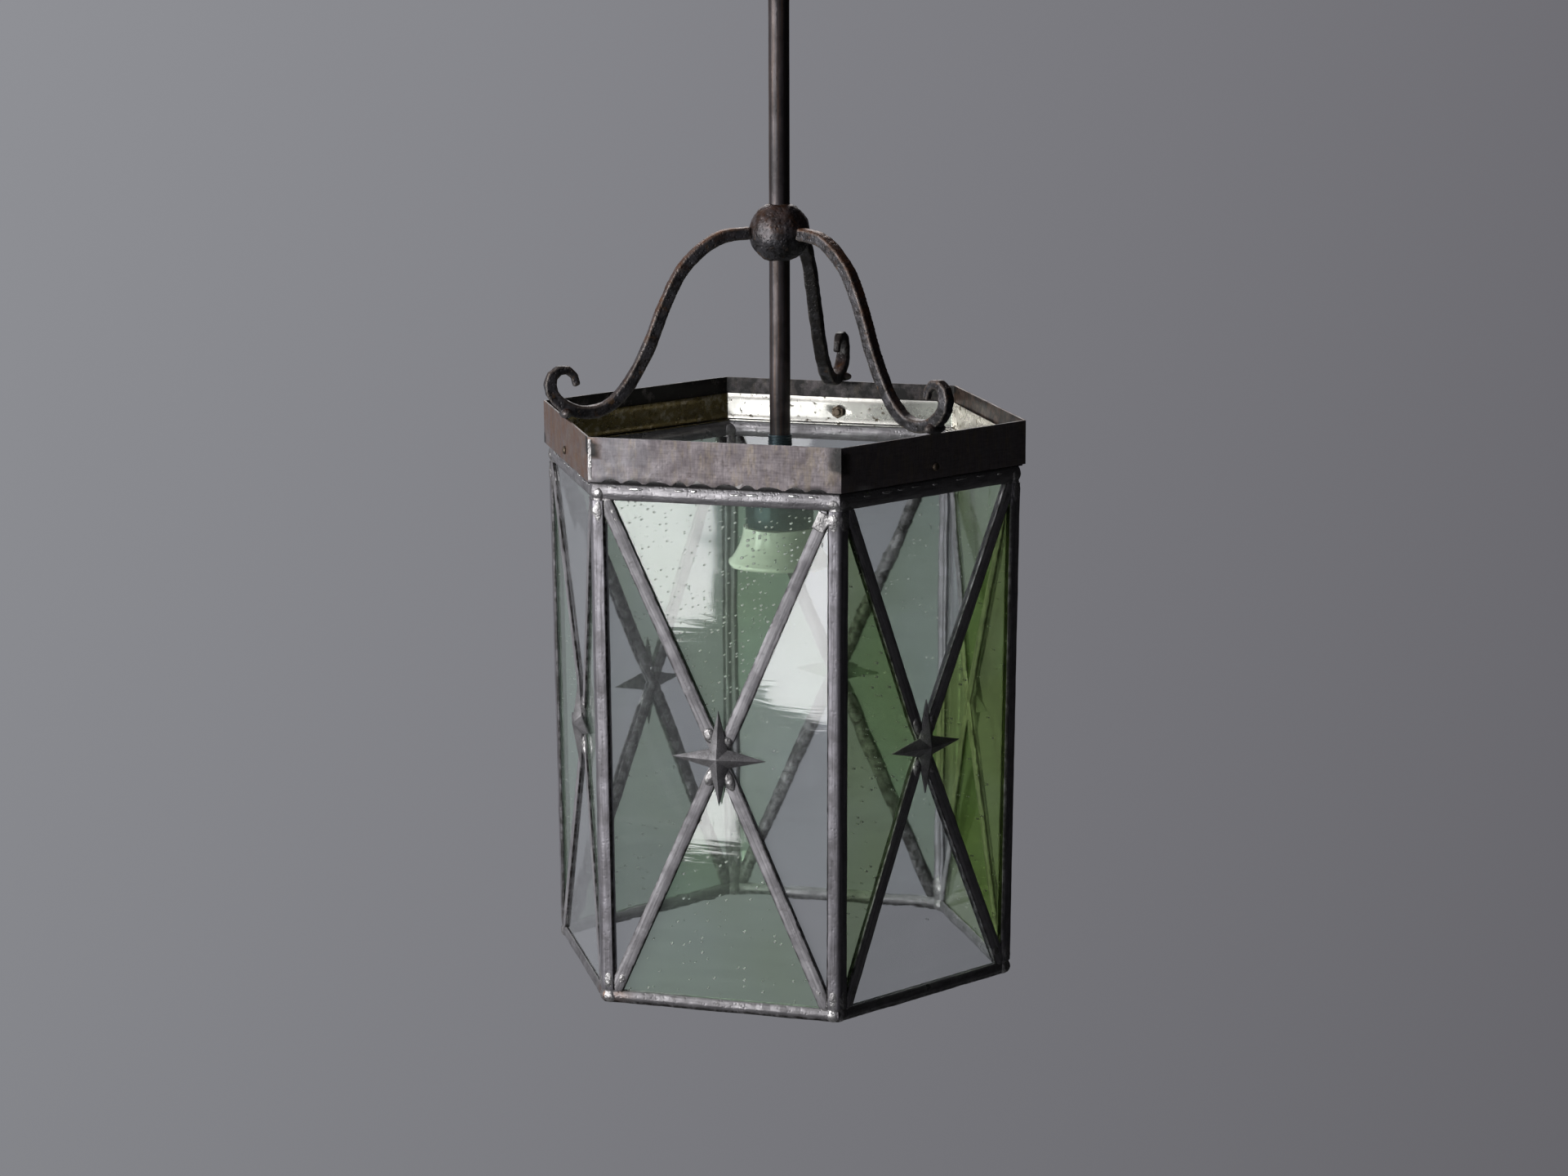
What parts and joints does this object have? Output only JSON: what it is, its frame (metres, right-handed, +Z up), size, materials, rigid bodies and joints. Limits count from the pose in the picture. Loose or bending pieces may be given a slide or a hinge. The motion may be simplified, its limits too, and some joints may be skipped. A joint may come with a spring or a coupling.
{
  "type": "hanging lantern",
  "caption": "Hexagonal leaded-glass hall lantern on a tube stem, with an open steel gallery, scroll arms, porcelain lampholder, link and ceiling hook.",
  "frame": {"origin": "centre of the ceiling plate's flat top face", "axes": "+Z up, out of the ceiling face, along the stem's axis; -Y towards the panel with the scalloped band edge (face a); +X to the right of it"},
  "size_m": [0.292, 0.2639, 0.6706],
  "materials": {
    "forged_iron": "hammered, dark patina, worn bright on edges",
    "band_steel": "aged, stained",
    "tinned_sheet": "bright tin with brown stains",
    "came_lead": "soldered, dull with bright spots",
    "star_metal": "matte grey casting",
    "green_glass": "seeded green cathedral glass",
    "clear_glass": "clear drawn glass",
    "cap_metal": "dark patina",
    "brass": "aged",
    "porcelain": "glossy glaze",
    "bolt_steel": "worn"
  },
  "bodies": {
    "ceiling_fitting": {"ceiling_hook": "forged_iron"},
    "link": {"suspension_link": "forged_iron"},
    "lantern": {"hanging_eye": "forged_iron", "stem": "forged_iron", "knop": "forged_iron", "gallery_band": "band_steel", "tin_collar": "tinned_sheet", "lampholder_cap": "cap_metal", "lampholder_shell": "brass", "porcelain_skirt": "porcelain", "top_rail": "came_lead", "bottom_rail": "came_lead", "pane_a_top": "green_glass", "pane_a_bottom": "green_glass", "pane_a_left": "clear_glass", "pane_a_right": "clear_glass", "cross_came_a": "came_lead", "star_a": "star_metal", "corner_post_ab": "came_lead", "pane_b_top": "clear_glass", "pane_b_bottom": "clear_glass", "pane_b_left": "green_glass", "pane_b_right": "green_glass", "cross_came_b": "came_lead", "star_b": "star_metal", "scroll_arm_b": "forged_iron", "gallery_bolt_b": "bolt_steel", "corner_post_bc": "came_lead", "pane_c_top": "green_glass", "pane_c_bottom": "green_glass", "pane_c_left": "clear_glass", "pane_c_right": "clear_glass", "cross_came_c": "came_lead", "star_c": "star_metal", "corner_post_cd": "came_lead", "pane_d_top": "clear_glass", "pane_d_bottom": "clear_glass", "pane_d_left": "green_glass", "pane_d_right": "green_glass", "cross_came_d": "came_lead", "star_d": "star_metal", "scroll_arm_d": "forged_iron", "gallery_bolt_d": "bolt_steel", "corner_post_de": "came_lead", "pane_e_top": "green_glass", "pane_e_bottom": "green_glass", "pane_e_left": "clear_glass", "pane_e_right": "clear_glass", "cross_came_e": "came_lead", "star_e": "star_metal", "corner_post_ef": "came_lead", "pane_f_top": "clear_glass", "pane_f_bottom": "clear_glass", "pane_f_left": "green_glass", "pane_f_right": "green_glass", "cross_came_f": "came_lead", "star_f": "star_metal", "scroll_arm_f": "forged_iron", "gallery_bolt_f": "bolt_steel", "corner_post_fa": "came_lead"}
  },
  "joints": [
    {"name": "link_swing", "type": "hinge", "parent": "ceiling_fitting", "child": "link", "pos_m": [0, 0, -0.052], "axis": [1, 0, 0], "range_deg": [-25, 25]},
    {"name": "lantern_swing", "type": "hinge", "parent": "link", "child": "lantern", "pos_m": [0, 0, -0.07715], "axis": [0, 1, 0], "range_deg": [-25, 25]}
  ]
}
